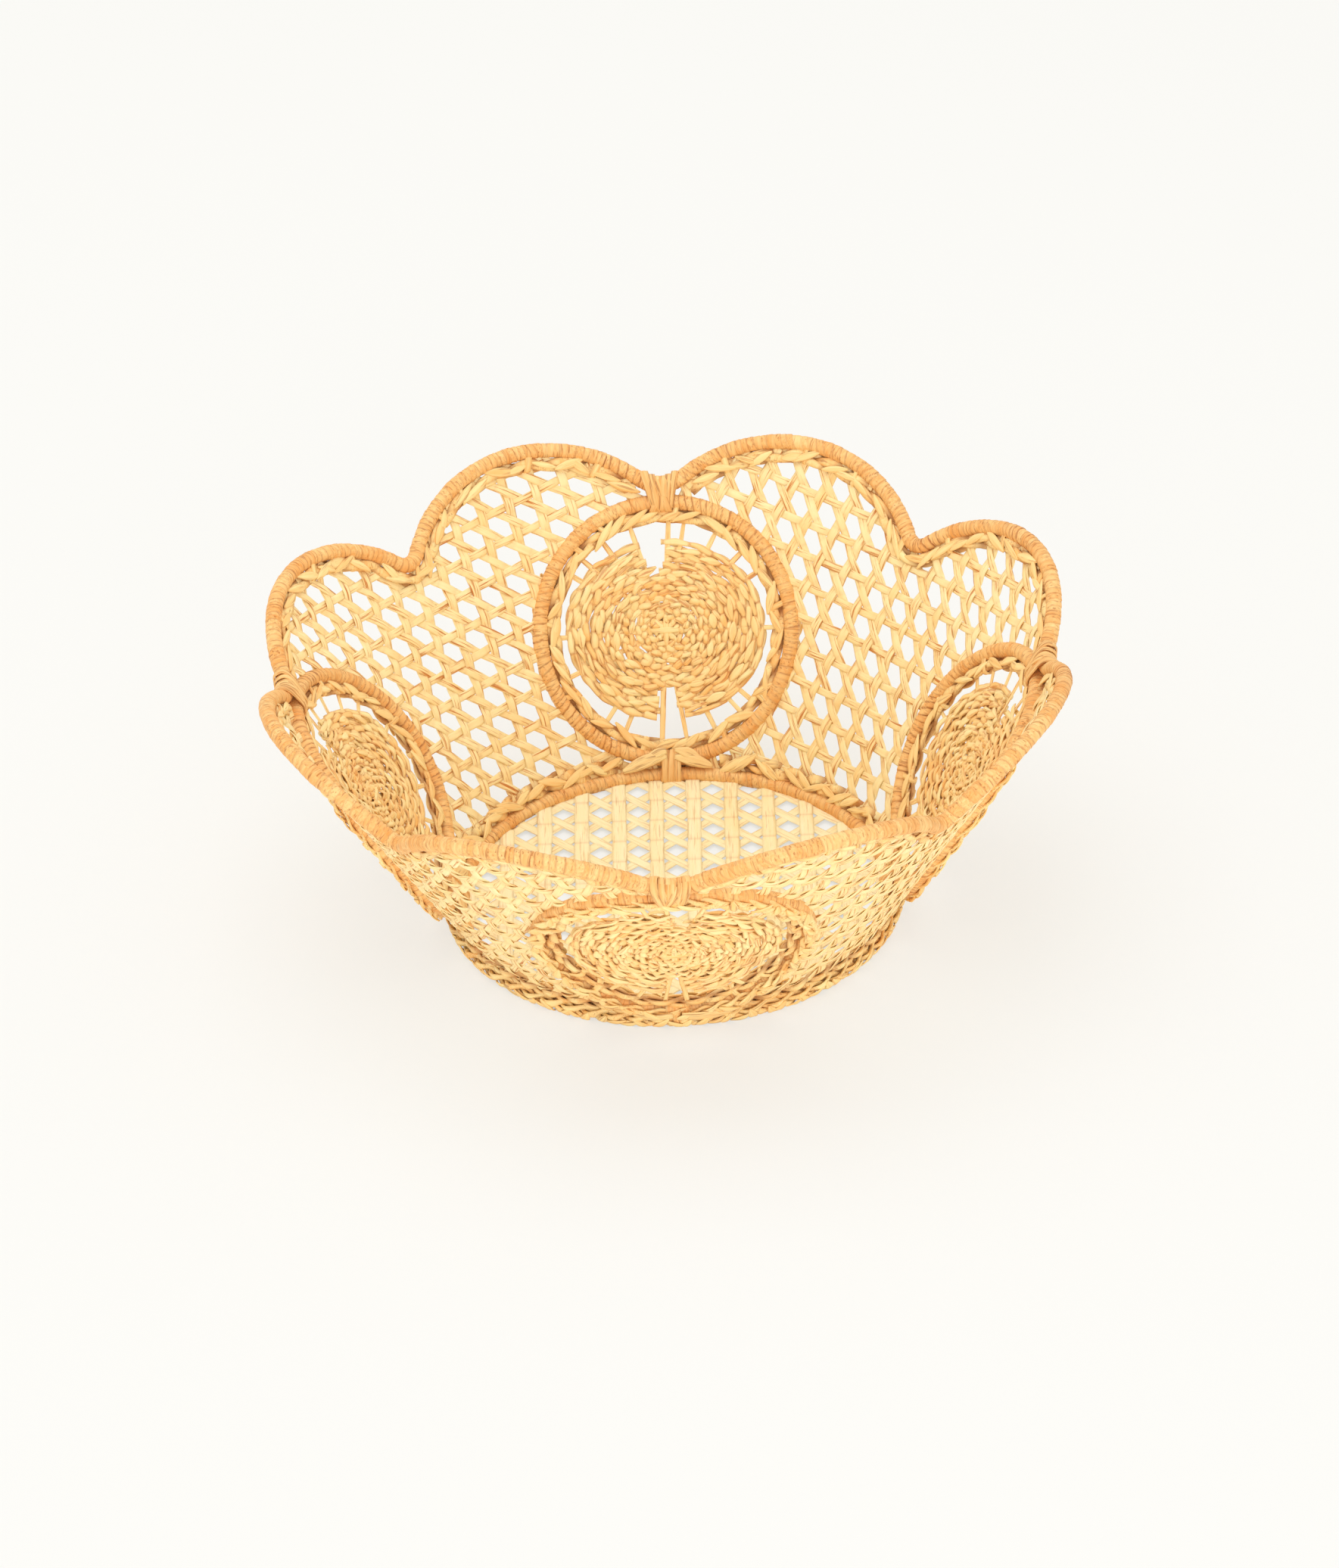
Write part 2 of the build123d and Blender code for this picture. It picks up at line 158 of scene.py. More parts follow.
# How fast the palm's broad and fine lines change along the fibre, across it and with the tone.
broad_lines = (0.05, 0.8, 31.0)
fine_lines = (0.08, 1.5, 17.0)
broad_edge = (0.3, 0.7)
fine_edge = (0.55, 0.66)
broad_share = 0.45
tone_share = 0.4
patch_share = 0.5
patch_middle = 0.4
patch_scale = 75.0
bump_depth = 0.0003


def palm_finish(name, pale, deep, crack_and_shade, line_share):
    """Split palm: fine lines run along the fibre, strips differ in tone, seams and crevices carry painted
    shade.

    Broad lines, tone and patches blend the pale colour into the deep one. Fine lines blend that into
    the colour of a crack, and the painted shade of seams and crevices darkens it toward the same colour.
    The UV map gives millimetres along the fibre and across it."""
    finish, dye = new_finish(name)
    strip = dye.node("ShaderNodeUVMap", {"uv_map": "fibre"}, {})
    along = dye.node("ShaderNodeSeparateXYZ", {}, {0: strip}, "X")
    across = along.outlet("Y")
    tone = dye.node("ShaderNodeAttribute", {"attribute_name": "tone"}, {}, "Fac")
    painted_shade = dye.node("ShaderNodeAttribute", {"attribute_name": "painted_shade"}, {}, "Fac")
    place = dye.node("ShaderNodeTexCoord", {}, {}, "Object")

    def lines(rates):
        """Noise drawn out along the fibre: each of along, across and tone, times its own rate."""
        drawn = {axis: (along, across, tone)[axis] * rate for axis, rate in enumerate(rates)}
        return dye.noise(dye.node("ShaderNodeCombineXYZ", {}, drawn), 1.0, 3.0)

    broad = lines(broad_lines)
    fine = lines(fine_lines)
    patch = dye.noise(place, patch_scale, 2.0)
    shade = broad.between(*broad_edge) * broad_share + tone * tone_share
    shade = shade + (patch - patch_middle) * patch_share
    body = shade.between(0.0, 1.0).blend(screen(*pale), screen(*deep))
    lined = (fine.between(*fine_edge) * line_share).blend(body, screen(*crack_and_shade))
    # Painted shade, carried on the mesh, darkens seams and crevices toward the crack colour.
    colour = painted_shade.between(0.0, 1.0).blend(lined, screen(*crack_and_shade))
    relief = fine * -0.6 + broad * 0.4
    bump = dye.node("ShaderNodeBump", {}, {"Strength": 0.6, "Distance": bump_depth, "Height": relief})
    values = {"Base Color": colour, "Roughness": 0.46 + 0.22 * fine, "Normal": bump}
    values["Specular IOR Level"] = 0.3
    sheen = dye.node("ShaderNodeBsdfPrincipled", {}, values)
    dye.node("ShaderNodeOutputMaterial", {}, {0: sheen})
    return finish


def even_line(points, step, closed):
    """Points at even steps along a line, with the left-hand direction and the distance run at each."""
    if closed:
        points = np.vstack([points, points[:1]])
    run = np.concatenate([[0], np.cumsum(np.linalg.norm(np.diff(points, axis=0), axis=1))])
    along = np.linspace(0, run[-1], max(int(round(run[-1] / step)), 2) + 1)
    spots = np.stack([np.interp(along, run, points[:, axis]) for axis in (0, 1)], 1)
    heading = np.gradient(spots, axis=0)
    if closed:
        heading[0] = heading[-1] = spots[1] - spots[-2]
    heading /= np.linalg.norm(heading, axis=1)[:, None]
    sideways = np.stack([-heading[:, 1], heading[:, 0]], 1)
    if closed:
        return spots[:-1], sideways[:-1], along, True
    return spots, sideways, along, False


def beside(line, across, forward=0.0):
    """Flat places that lie across to the left of a line and forward along it, both as grids."""
    spots, sideways = line[0][:, None, :], line[1][:, None, :]
    heading = np.stack([sideways[..., 1], -sideways[..., 0]], -1)
    flat = spots + np.asarray(across)[..., None] * sideways + np.asarray(forward)[..., None] * heading
    return flat[..., 0], flat[..., 1]


def drawn_knots(along, spacing, rng, closed):
    """A slow wander along a line: random values at knots a spacing apart, joined up by half cosines."""
    count = max(int(round(along[-1] / spacing)), 2)
    values = rng.normal(0, 1, count + 1)
    if closed:
        values[-1] = values[0]
    share = along / along[-1] * count
    knot = np.minimum(share.astype(int), count - 1)
    ease = (1 - np.cos(np.pi * (share - knot))) / 2
    return values[knot] * (1 - ease) + values[knot + 1] * ease


def wound_tube(line, rng):
    """Turns of strip round a line: each steps up over the turn before it and slopes down to the next.

    The turns differ in width and tone and lean to and fro by the cosine of the angle round the line.
    Gives the grids across, lift, tone and painted shade, and the distances along and around."""
    spots, _, along, closed = line
    rows = len(spots)
    count = int(round(along[-1] / turn_width))
    edges = np.concatenate([[0], np.cumsum(rng.uniform(*turn_spread, count))])
    edges *= along[-1] / edges[-1]
    share = np.arange(tube_facets)[None, :] / tube_facets
    angle = 2 * np.pi * share
    lean = turn_lean * drawn_knots(along, lean_spacing, rng, closed)[:rows, None]
    place = np.mod(along[:rows, None] + lean * np.cos(angle), along[-1])
    numbers = np.arange(count + 1)
    phase = np.interp(place, edges, numbers) - share
    turn = np.floor(phase)
    within = phase - turn
    strip = np.mod(turn + share, count)
    level = rng.uniform(-1, 1, count + 1)
    level[-1] = level[0]
    depth = rng.uniform(0, 1, count + 1) ** 1.3
    depth[-1] = depth[0]
    high = np.interp(strip, numbers, level)
    dark = np.interp(strip, numbers, depth)
    lip = within / lip_share
    step_up = np.sin(np.pi / 2 * np.clip(lip, 0, 1))
    lumps = drawn_knots(along, lump_spacing, rng, closed)[:rows, None]
    loose = loose_middle + loose_spread * drawn_knots(along, loose_spacing, rng, closed)[:rows, None]
    loose = np.clip(loose, loose_least, 1.0)
    stepped = 1 - turn_step + turn_step * step_up * (1 - turn_slope * within)
    reach = tube_radius * (stepped + turn_uneven * high + turn_lump * lumps)
    # Painted shade in the crevice where each turn steps over the one before, deeper for some turns and in
    # looser stretches.
    painted_shade = np.clip(1.25 - lip, 0, 1) * (least_shade + (1 - least_shade) * dark) * loose
    around = 2 * np.pi * tube_radius * np.arange(tube_facets + 1) / tube_facets
    return reach * np.cos(angle), reach * np.sin(angle), (high + 1) / 2, painted_shade, along, around


def add_piece(name, patches, finish, nodes):
    """One mesh of several grids of places, each closed round its section, capped at its ends if open.

    A patch is its places, its tone and painted shade, the distances along and across, whether its line
    closes on itself, and whether the fibre runs round the section instead of along the line."""
    points, faces, corners, tones, painted_shades = [], [], [], [], []
    first = 0
    for places, tone, painted_shade, along, across, closed, wound in patches:
        rows, columns = places.shape[:2]
        index = first + np.arange(rows * columns).reshape(rows, columns)
        loop = np.vstack([index, index[:1]]) if closed else index
        loop = np.hstack([loop, loop[:, :1]])
        quads = np.stack([loop[:-1, :-1], loop[:-1, 1:], loop[1:, 1:], loop[1:, :-1]], -1)
        run, side = np.meshgrid(along, across, indexing="ij")
        fibre = np.stack([side, run] if wound else [run, side], -1)[: len(loop)]
        spread = np.stack([fibre[:-1, :-1], fibre[:-1, 1:], fibre[1:, 1:], fibre[1:, :-1]], 2)
        faces += quads.reshape(-1, 4).tolist()
        corners.append(spread.reshape(-1, 2))
        if not closed:
            faces += [index[0, ::-1].tolist(), index[-1].tolist()]
            corners += [fibre[0, :-1][::-1], fibre[-1, :-1]]
        points.append(places.reshape(-1, 3))
        tones.append(np.broadcast_to(tone, (rows, columns)).reshape(-1))
        painted_shades.append(np.broadcast_to(painted_shade, (rows, columns)).reshape(-1))
        first += rows * columns
    mesh = bpy.data.meshes.new(name)
    mesh.from_pydata(np.concatenate(points).tolist(), [], faces)
    mesh.polygons.foreach_set("use_smooth", np.ones(len(faces), bool))
    layer = mesh.uv_layers.new(name="fibre")
    layer.uv.foreach_set("vector", np.concatenate(corners).astype(np.float32).reshape(-1))
    for attribute, values in (("tone", tones), ("painted_shade", painted_shades)):
        field = mesh.attributes.new(attribute, "FLOAT", "POINT")
        field.data.foreach_set("value", np.concatenate(values).astype(np.float32))
    mesh.update()
    mesh.materials.append(finish)
    piece = bpy.data.objects.new(name, mesh)
    bpy.context.scene.collection.objects.link(piece)
    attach(piece, "root")
    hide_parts(*nodes)


def lay_level(x, y, lift):
    """Level places at a height, in metres, worn flat on the floor."""
    return np.stack([x, y, np.maximum(lift, 0.0)], -1) * mm


winding_finish = palm_finish("wound_palm", (253, 216, 148), (235, 154, 69), (150, 66, 8), 0.55)
rng = np.random.default_rng(11)
round_angle = np.radians(np.arange(720) / 2)
hoop_circle = base_radius * np.stack([np.cos(round_angle), np.sin(round_angle)], 1)
hoop_line = even_line(hoop_circle, tube_step, True)
across, lift, *looks = wound_tube(hoop_line, rng)
hoop_patch = (lay_level(*beside(hoop_line, across), hoop_height + lift), *looks, True, True)
add_piece("base_hoop_winding", [hoop_patch], winding_finish, ["base_hoop_wrap"])

# Bottom net: broad pale strips run front to back over two sets of slanting strips.
# The falling set lies over the rising one where they cross, and all end inside the hoop.
net_radius = 71.4
column_pitch = 12.9
row_pitch = 12.5
net_shift = np.array([0.9, 1.4])
net_level = 1.5
net_step = 0.9
least_points = 8
flat_thickness = 0.32
broad_width = 5.2
broad_lift = 0.24
pinch_length = 0.05
pinch_depth = 0.12
pinch_narrow = 0.06
pinch_shade = 0.26
slant_width = 3.9
# Middle height of each slanting set, and how far it swings at the crossings.
slant_levels = {"rising": (-0.26, -0.05), "falling": (-0.06, 0.06)}
# Place, length and strength, in lattice steps, of the painted shadow beside the broad strips.
crossing_place = 0.22
crossing_length = 0.04
crossing_shade = 0.16


def ribbon(line, width, thickness, lift):
    """A flat strip along a line: a lens-shaped section with eight corners, wide across, thin in lift.

    Width and lift are given at each step of the line. Gives the grids across and lift, and the
    distances along and across."""
    angle = 2 * np.pi * (np.arange(8) + 0.5) / 8
    flat = np.sign(np.cos(angle)) * np.abs(np.cos(angle)) ** 0.6
    width = np.broadcast_to(width, len(line[0]))[:, None]
    lift = np.broadcast_to(lift, len(line[0]))[:, None]
    across = width / 2 * flat
    thick = lift + thickness / 2 * np.sin(angle)
    side = np.append(flat, flat[0]) * float(width.mean()) / 2
    return across, thick, line[2], side


def strip_seed(rng):
    """Tone of one strip, mostly near the middle."""
    return float(np.clip(rng.normal(0.45, 0.22), 0, 1))


base_finish = palm_finish("pale_palm", (255, 247, 208), (252, 228, 164), (204, 134, 58), 0.4)
rng = np.random.default_rng(12)
net_patches = []
broad_run = np.arange(-net_radius, net_radius, net_step)
slant_run = np.linspace(-6, 6, 220)
for kind in ("broad", "rising", "falling"):
    for offset in np.arange(-9, 9) + 0.5:
        if kind == "broad":
            lattice = broad_run / row_pitch
            x = np.full_like(broad_run, offset * column_pitch)
            y = broad_run
            pinch = np.exp(-(((lattice - np.floor(lattice)) - 0.5) / pinch_length) ** 2)
            level = broad_lift - pinch_depth * pinch
            width = broad_width * (1 - pinch_narrow * pinch)
            # Painted shade on the broad strip where it dips at each pinch.
            painted_shade = pinch_shade * pinch
        else:
            lattice = slant_run
            x = (lattice + offset) * column_pitch
            y = lattice * row_pitch * (1 if kind == "rising" else -1)
            middle, swing = slant_levels[kind]
            level = middle + swing * np.cos(2 * np.pi * lattice)
            width = np.full_like(x, slant_width)
            # Painted shadow on the slanting strip beside the edges of the broad strips that pass over it.
            near = np.abs(lattice - np.round(lattice))
            painted_shade = crossing_shade * np.exp(-(((near - crossing_place) / crossing_length) ** 2))
        x = x + net_shift[0]
        y = y + net_shift[1]
        inside = np.hypot(x, y) < net_radius
        if inside.sum() < least_points:
            continue
        line = even_line(np.stack([x, y], 1)[inside], net_step, False)
        run = np.linspace(0, 1, len(line[0]))
        kept = np.linspace(0, 1, inside.sum())
        wander = 0.12 * drawn_knots(line[2], 18.0, rng, False)[:, None]
        uneven = 1 + 0.04 * drawn_knots(line[2], 12.0, rng, False)
        tone = strip_seed(rng)
        level, painted_shade, width = (np.interp(run, kept, value[inside]) for value in (level, painted_shade, width))
        across, thick, along, side = ribbon(line, width * uneven, flat_thickness, level)
        places = lay_level(*beside(line, across + wander), net_level + thick)
        along = along + 40 * rng.random()
        net_patches.append((places, tone, painted_shade[:, None], along, side, False, False))
add_piece("base_netting", net_patches, base_finish, ["base_net"])

# Rim winding: palm wound round the long rim wire, which is bent into eight scallops.
# Rim, rings and nets are drawn on the wall laid flat, which is then rolled up into a leaning cone.
panel_turns = {"front_right": -45, "back_right": 45, "back_left": 135, "front_left": 225}
wall_lean = np.radians(31.85)
sin_lean = np.sin(wall_lean)
cos_lean = np.cos(wall_lean)
seat_clearance = 0.15
medallion_radius = 44.75
scallop_radius = 54.0
medallion_dip_radius = 12.0
quarter_dip_radius = 6.0
quarter_dip_drop = 5.6
seat_pitch = 2 * tube_radius + seat_clearance
hoop_reach = base_radius / sin_lean
ring_reach = hoop_reach + seat_pitch + medallion_radius
medallion_dip = ring_reach + medallion_radius + seat_pitch
quarter_dip = medallion_dip - quarter_dip_drop
half_panel = 45 * sin_lean


def ray(reach, angle):
    """A spot of the flat wall, by its distance from the tip and its angle from the panel's middle."""
    return reach * np.array([np.sin(np.radians(angle)), np.cos(np.radians(angle))])


def bearing(centre, spot):
    """Direction from one flat spot to another, in degrees."""
    return np.degrees(np.arctan2(spot[1] - centre[1], spot[0] - centre[0]))


def arc(centre, radius, start, end):
    """Points along an arc, half a degree apart or closer."""
    angle = np.radians(np.linspace(start, end, int(abs(end - start) * 2) + 2))
    return np.asarray(centre) + radius * np.stack([np.cos(angle), np.sin(angle)], 1)


def roll_up(x, y, lift, turn):
    """Flat wall into a cone, in metres.

    Distance from the tip becomes distance up the wall, angle becomes a wider turn round it,
    and lift stands square off the wall, outward."""
    reach = np.hypot(x, y)
    around = np.radians(turn) + np.arctan2(x, y) / sin_lean
    radius = reach * sin_lean + lift * cos_lean
    height = hoop_height + (reach - hoop_reach) * cos_lean - lift * sin_lean
    return lay_level(radius * np.cos(around), radius * np.sin(around), height)


# The scallop's middle is where circles round the two bends of the rim cross.
quarter_bend = ray(quarter_dip + quarter_dip_radius, 0)
medallion_bend = ray(medallion_dip + medallion_dip_radius, half_panel)
bend_gap = medallion_bend - quarter_bend
gap_length = np.hypot(*bend_gap)
quarter_pull = scallop_radius + quarter_dip_radius
medallion_pull = scallop_radius + medallion_dip_radius
bend_foot = (gap_length**2 + quarter_pull**2 - medallion_pull**2) / (2 * gap_length)
bend_drop = np.sqrt(quarter_pull**2 - bend_foot**2)
gap_way = bend_gap / gap_length
scallop_centre = quarter_bend + gap_way * bend_foot + np.array([gap_way[1], -gap_way[0]]) * bend_drop
out_of_quarter = bearing(quarter_bend, scallop_centre)
into_medallion = bearing(medallion_bend, scallop_centre)
at_medallion = bearing(medallion_bend, (0, 0))


def scallop_half(inset, last_bearing):
    """Half a panel of rim from its middle dip over the scallop, moved down the wall by inset."""
    dip = arc(quarter_bend, quarter_dip_radius + inset, -90, out_of_quarter)
    over = arc(scallop_centre, scallop_radius - inset, out_of_quarter + 180, last_bearing)
    return np.vstack([dip, over[1:]])


def both_halves(half):
    """A line over a whole panel, from the line over its right half."""
    return np.vstack([half[:0:-1] * (-1, 1), half])


last_dip = arc(medallion_bend, medallion_dip_radius, into_medallion, at_medallion)
rim_panel = both_halves(np.vstack([scallop_half(0, into_medallion + 180), last_dip[1:]]))
panel_reach = np.hypot(*rim_panel.T)
panel_angle = np.degrees(np.arctan2(*rim_panel.T))
rim_points = [ray(panel_reach, panel_angle + 2 * half_panel * panel).T[1:] for panel in range(4)]
rim_line = even_line(np.vstack(rim_points), tube_step, False)
# The rim's end meets its start once the wall is rolled up.
rim_line = (rim_line[0][:-1], rim_line[1][:-1], rim_line[2], True)
rng = np.random.default_rng(13)
across, lift, *looks = wound_tube(rim_line, rng)
rim_patch = (roll_up(*beside(rim_line, across), lift, panel_turns["front_right"]), *looks, True, True)
nodes = ["rim_wrap_" + panel for panel in panel_turns]
add_piece("rim_winding", [rim_patch], winding_finish, nodes)

# Medallion rings: wire circles bent round the wall and wound with palm as the rim is.
# Each touches the hoop below and the rim above, where bands tie it fast.
side_turns = dict(zip(places_round, (-90, 0, 90, 180)))
ring_spot = np.array([0.0, ring_reach])


def ring_round(radius, step):
    """A circle round a medallion's middle, from its foot round to its foot."""
    return even_line(arc(ring_spot, radius, -90, 269.5), step, True)


ring_line = ring_round(medallion_radius, tube_step)
for number, (place, turn) in enumerate(side_turns.items()):
    rng = np.random.default_rng(20 + number)
    across, lift, *looks = wound_tube(ring_line, rng)
    ring_patch = (roll_up(*beside(ring_line, across), lift, turn), *looks, True, True)
    nodes = ["medallion_wrap_" + place]
    add_piece("medallion_winding_" + place, [ring_patch], winding_finish, nodes)

# Plaits: three strands of folded palm plaited flat, sewn along the rim, the rings and the hoop.
# A second plait covers the foot and each ring on the outside. Leaf-shaped ends are tucked into them,
# and a few single strips tie the plaits of rim and rings to their windings.
braid_offset = 4.9
plait_step = 0.6
strand_facets = 8
# Strength of the painted shade in the crevices of the plaits on the inside and of those on the outside.
inner_shade = 0.62
outer_shade = 0.08
# Swing, rise, strand width, strand thickness and length of a stitch.
rim_plait_sizes = (1.2, 1.0, 3.0, 1.2, 14.0)
ring_plait_sizes = (1.15, 0.95, 2.8, 1.2, 12.0)
hoop_plait_sizes = (1.8, 1.3, 3.4, 1.6, 9.5)
foot_plait_sizes = (2.0, 1.1, 3.4, 1.5, 8.5)
ring_cover_sizes = (1.5, 0.8, 2.7, 1.2, 8.0)
foot_plait_rise = 1.6
foot_plait_lift = 2.4
ring_cover_inset = 0.6
ring_cover_lift = 2.5
tie_spacing = 24.0
tie_width = 2.0
tie_span = (-2.0, braid_offset)
tie_depths = (1.6, 1.5)
tie_slant = 1.6
tuft_width = 2.8
tuft_bow = 0.9
tuft_sink = 0.5
folded_thickness = 0.6
short_tuft = (2.6, 4.2)
long_tuft = (4.0, 6.4)
# Level, spacing, least and most lean in degrees, least and most half length.
rim_tufts = (-1.5, 8.0, (8, 30), long_tuft)
ring_tufts = (-1.5, 7.0, (8, 30), long_tuft)
hoop_tufts = (-2.0, 6.0, (10, 40), long_tuft)
foot_tufts = (foot_plait_lift + 1.6, 4.5, (12, 70), short_tuft)
ring_cover_tufts = (ring_cover_lift + 1.2, 9.0, (12, 60), short_tuft)


def plait(line, swing, rise, width, thickness, stitch, rng):
    """Three strands along a line, a third of a swing apart.

    Each moves to the side as the sine of its phase and in and out as the sine of twice the phase.
    Its section is a lens, full on top of the plait, with painted shade near the middle of the plait's
    depth."""
    spots, _, along, closed = line
    rows = len(spots)
    swings = max(int(round(along[-1] / (3 * stitch))), 1)
    sway = 0.35 * drawn_knots(along, 3 * stitch, rng, closed)
    phase = 2 * np.pi * swings * along / along[-1] + sway
    angle = 2 * np.pi * (np.arange(strand_facets) + 0.5) / strand_facets
    strands = []
    for strand in range(3):
        turn = phase + strand * 2 * np.pi / 3
        loose = 1 + 0.22 * drawn_knots(along, 2 * stitch, rng, closed)
        side = swing * loose * np.sin(turn)
        lean = np.arctan(np.gradient(side, along))
        level = rise * np.sin(2 * turn)
        full = np.abs(np.sin(2 * turn))
        fat = 0.8 + 0.3 * full + 0.14 * drawn_knots(along, 0.6 * stitch, rng, closed)
        offset = fat[:, None] * width / 2 * np.cos(angle)
        across = side[:, None] + offset * np.cos(lean)[:, None]
        forward = -offset * np.sin(lean)[:, None]
        lift = level[:, None] + thickness / 2 * np.sin(angle)
        tone = np.clip(0.35 + 0.3 * drawn_knots(along, 0.7 * stitch, rng, closed), 0, 1)
        # Painted shade: darker toward the middle of the plait's depth, in its crevices.
        painted_shade = np.clip(1.15 - np.abs(lift) / (0.75 * (rise + thickness / 2)), 0, 1)
        around = (width + thickness) * np.arange(strand_facets + 1) / strand_facets
        looks = (tone[:rows, None], painted_shade[:rows], along + 50 * strand, around)
        strands.append((across[:rows], forward[:rows], lift[:rows], *looks))
    return strands


def plait_patches(line, turn, sizes, rng, level=0.0, shade=inner_shade):
    """The patches of a plait that lies on the wall, or stands off it by a level."""
    patches = []
    for across, forward, lift, tone, painted_shade, along, around in plait(line, *sizes, rng):
        places = roll_up(*beside(line, across, forward), level + lift, turn)
        patches.append((places, tone, shade * painted_shade, along, around, line[3], False))
    return patches


def strip_patch(line, width, thickness, lift, tone, turn):
    """The patch of a flat strip that lies on the wall along a line."""
    across, thick, along, side = ribbon(line, width, thickness, lift)
    return roll_up(*beside(line, across), thick, turn), tone, 0.0, along, side, False, False


def strip_loop(spot, way, span, depths, slant, width, thickness, steps):
    """One turn of strip round a bundle: an oval in the cut that runs along way from a flat spot.

    It reaches over the two ends of span, stands as deep as depths say at each, and leans sideways
    by slant. Its section is a lens with six corners. Gives x, y and lift, and the distances along
    and across."""
    angle = np.linspace(0, 2 * np.pi, steps, endpoint=False)[:, None]
    rise = np.sign(np.cos(angle)) * np.abs(np.cos(angle)) ** 0.7
    stand = np.sign(np.sin(angle)) * np.abs(np.sin(angle)) ** 0.7
    section = 2 * np.pi * (np.arange(6) + 0.5) / 6
    flat = np.cos(section) / np.cos(np.pi / 6)
    swell = thickness / 2 * np.sin(section)
    reach = (span[0] + span[1]) / 2 + ((span[1] - span[0]) / 2 + swell) * rise
    aside = slant * rise + width / 2 * flat
    depth = depths[0] + (depths[1] - depths[0]) * (1 + rise) / 2
    lift = (depth + swell) * stand
    x = spot[0] + reach * way[0] + aside * way[1]
    y = spot[1] + reach * way[1] - aside * way[0]
    run = np.concatenate([[0], np.cumsum(np.hypot(np.diff(reach[:, 0]), np.diff(lift[:, 0])))])
    along = np.append(run, run[-1] + 0.8)
    return x, y, lift, along, np.append(flat, flat[0]) * width / 2


def tie_patches(line, turn, side, rng):
    """Ties of single strip, at uneven steps, that loop round a plait and the winding beside it."""
    spots, sideways, along, _ = line
    steps = np.arange(tie_spacing / 2, along[-1] - tie_spacing / 2, tie_spacing)
    patches = []
    for step in steps + rng.uniform(-0.4, 0.4, len(steps)) * tie_spacing:
        row = int(round(step / along[-1] * (len(spots) - 1)))
        width = tie_width * rng.uniform(0.75, 1.25)
        slant = rng.uniform(-tie_slant, tie_slant)
        way = side * sideways[row]
        looped = strip_loop(spots[row], way, tie_span, tie_depths, slant, width, folded_thickness, 24)
        patches.append((roll_up(*looped[:3], turn), strip_seed(rng), 0.0, *looped[3:], True, False))
    return patches


def tuft_patches(line, turn, level, spacing, leans, halves, rng):
    """Short leaf-shaped ends of strip tucked in along a plait, at uneven steps about a spacing apart.

    Each leans to one side by an angle within leans, has a half length within halves, is as wide
    as a sine from tip to tip, and bows up from the level by the same sine."""
    spots, sideways, along, _ = line
    steps = np.arange(spacing / 2, along[-1], spacing)
    patches = []
    for step in steps + rng.uniform(-0.45, 0.45, len(steps)) * spacing:
        row = int(np.clip(round(step / along[-1] * (len(spots) - 1)), 0, len(spots) - 1))
        lean = rng.choice((-1, 1)) * np.radians(rng.uniform(*leans))
        heading = np.array([sideways[row][1], -sideways[row][0]])
        way = np.cos(lean) * heading + np.sin(lean) * sideways[row]
        middle = spots[row] + rng.uniform(-0.8, 0.8) * sideways[row]
        half = rng.uniform(*halves)
        leaf_line = even_line(np.stack([middle - half * way, middle + half * way]), 0.8, False)
        leaf = np.sin(np.pi * np.linspace(0.08, 0.92, len(leaf_line[0])))
        bow = level + np.sign(level) * (tuft_bow * leaf - tuft_sink)
        width = tuft_width * leaf * rng.uniform(0.8, 1.2)
        patches.append(strip_patch(leaf_line, width, folded_thickness, bow, 0.7 * strip_seed(rng), turn))
    return patches


def crossing_angle(near, far, opposite):
    """Angle in degrees between two sides of a triangle, from its three sides."""
    return np.degrees(np.arccos((near**2 + far**2 - opposite**2) / (2 * near * far)))


# The plaits of rim and hoop end where they meet the circle that keeps clear of the ring.
ring_berth = medallion_radius + braid_offset
ring_centre = ray(ring_reach, half_panel)
ring_distance = np.hypot(*(ring_centre - scallop_centre))
plait_end = bearing(scallop_centre, ring_centre)
plait_end += crossing_angle(ring_distance, scallop_radius - braid_offset, ring_berth)
rim_plait_line = even_line(both_halves(scallop_half(braid_offset, plait_end)), plait_step, False)
hoop_plait_reach = hoop_reach + braid_offset
hoop_plait_half = half_panel - crossing_angle(hoop_plait_reach, ring_reach, ring_berth)
hoop_angles = np.linspace(-hoop_plait_half, hoop_plait_half, 60)
hoop_plait_line = even_line(ray(hoop_plait_reach, hoop_angles).T, plait_step, False)
foot_angles = np.linspace(-half_panel, half_panel, 90)
foot_plait_line = even_line(ray(hoop_reach + foot_plait_rise, foot_angles).T, plait_step, False)
ring_plait_line = ring_round(medallion_radius - braid_offset, plait_step)
ring_cover_line = ring_round(medallion_radius - ring_cover_inset, plait_step)
plait_finish = palm_finish("plaited_palm", (255, 238, 174), (247, 172, 80), (150, 64, 4), 0.5)
for number, (panel, turn) in enumerate(panel_turns.items()):
    rng = np.random.default_rng(30 + number)
    patches = plait_patches(rim_plait_line, turn, rim_plait_sizes, rng)
    patches += tie_patches(rim_plait_line, turn, 1, rng)
    patches += tuft_patches(rim_plait_line, turn, *rim_tufts, rng)
    add_piece("rim_plaiting_" + panel, patches, plait_finish, ["rim_plait_" + panel])
    patches = plait_patches(hoop_plait_line, turn, hoop_plait_sizes, rng)
    patches += plait_patches(foot_plait_line, turn, foot_plait_sizes, rng, foot_plait_lift, outer_shade)
    patches += tuft_patches(foot_plait_line, turn, *foot_tufts, rng)
    patches += tuft_patches(hoop_plait_line, turn, *hoop_tufts, rng)
    add_piece("hoop_plaiting_" + panel, patches, plait_finish, ["hoop_plait_" + panel])
